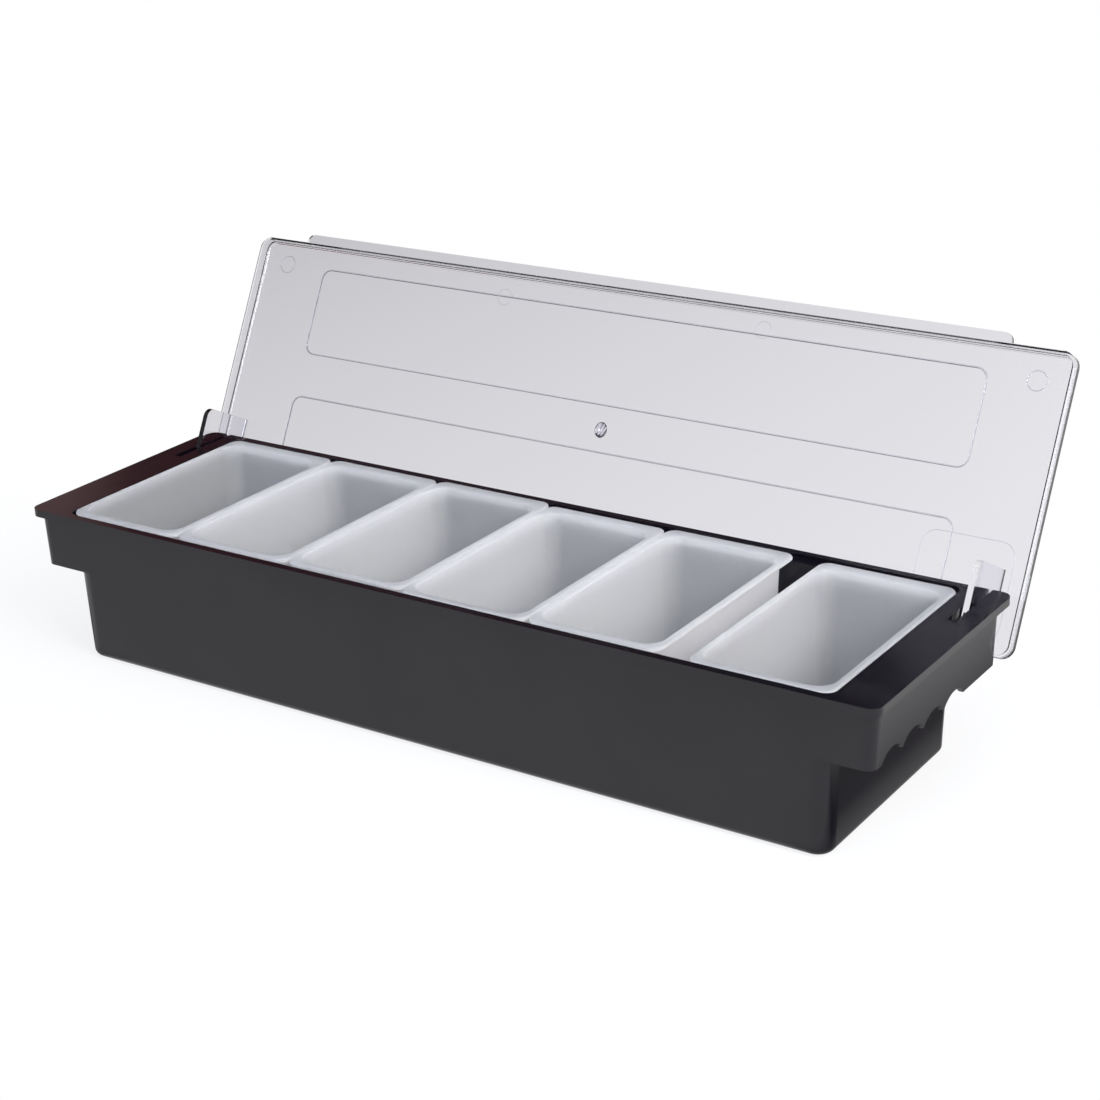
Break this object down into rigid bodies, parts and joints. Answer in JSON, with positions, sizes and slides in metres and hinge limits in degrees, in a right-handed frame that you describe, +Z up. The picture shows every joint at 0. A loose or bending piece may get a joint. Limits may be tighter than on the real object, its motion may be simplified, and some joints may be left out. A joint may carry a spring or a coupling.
{
  "type": "condiment caddy",
  "caption": "Long black tray of lift-out opal tubs, with moulded hand holds at its ends and one clear lid that swings up on pins at the rear corners.",
  "frame": {"origin": "centre of the tray's flat underside, where it stands on the table", "axes": "+X along the tray's length, +Y towards the hinge, +Z up"},
  "size_m": [0.5036, 0.2148, 0.1901],
  "materials": {
    "black_plastic": "satin black moulded plastic",
    "clear_plastic": "clear moulded plastic with a faint grey tint",
    "opal_plastic": "opal white moulded plastic, satin"
  },
  "bodies": {
    "base_tray": {"base_tray": "black_plastic"},
    "lid": {"lid": "clear_plastic"},
    "tub_1": {"tub_1": "opal_plastic"},
    "tub_2": {"tub_2": "opal_plastic"},
    "tub_3": {"tub_3": "opal_plastic"},
    "tub_4": {"tub_4": "opal_plastic"},
    "tub_5": {"tub_5": "opal_plastic"},
    "tub_6": {"tub_6": "opal_plastic"}
  },
  "joints": [
    {"name": "lid_hinge", "type": "hinge", "parent": "base_tray", "child": "lid", "pos_m": [0, 0.06295, 0.0707], "axis": [1, 0, 0], "range_deg": [0, 117.5]},
    {"name": "tub_1_lift", "type": "slide", "parent": "base_tray", "child": "tub_1", "axis": [0, 0, 1], "range_m": [0, 0.1]},
    {"name": "tub_2_lift", "type": "slide", "parent": "base_tray", "child": "tub_2", "axis": [0, 0, 1], "range_m": [0, 0.1]},
    {"name": "tub_3_lift", "type": "slide", "parent": "base_tray", "child": "tub_3", "axis": [0, 0, 1], "range_m": [0, 0.1]},
    {"name": "tub_4_lift", "type": "slide", "parent": "base_tray", "child": "tub_4", "axis": [0, 0, 1], "range_m": [0, 0.1]},
    {"name": "tub_5_lift", "type": "slide", "parent": "base_tray", "child": "tub_5", "axis": [0, 0, 1], "range_m": [0, 0.1]},
    {"name": "tub_6_lift", "type": "slide", "parent": "base_tray", "child": "tub_6", "axis": [0, 0, 1], "range_m": [0, 0.1]}
  ]
}
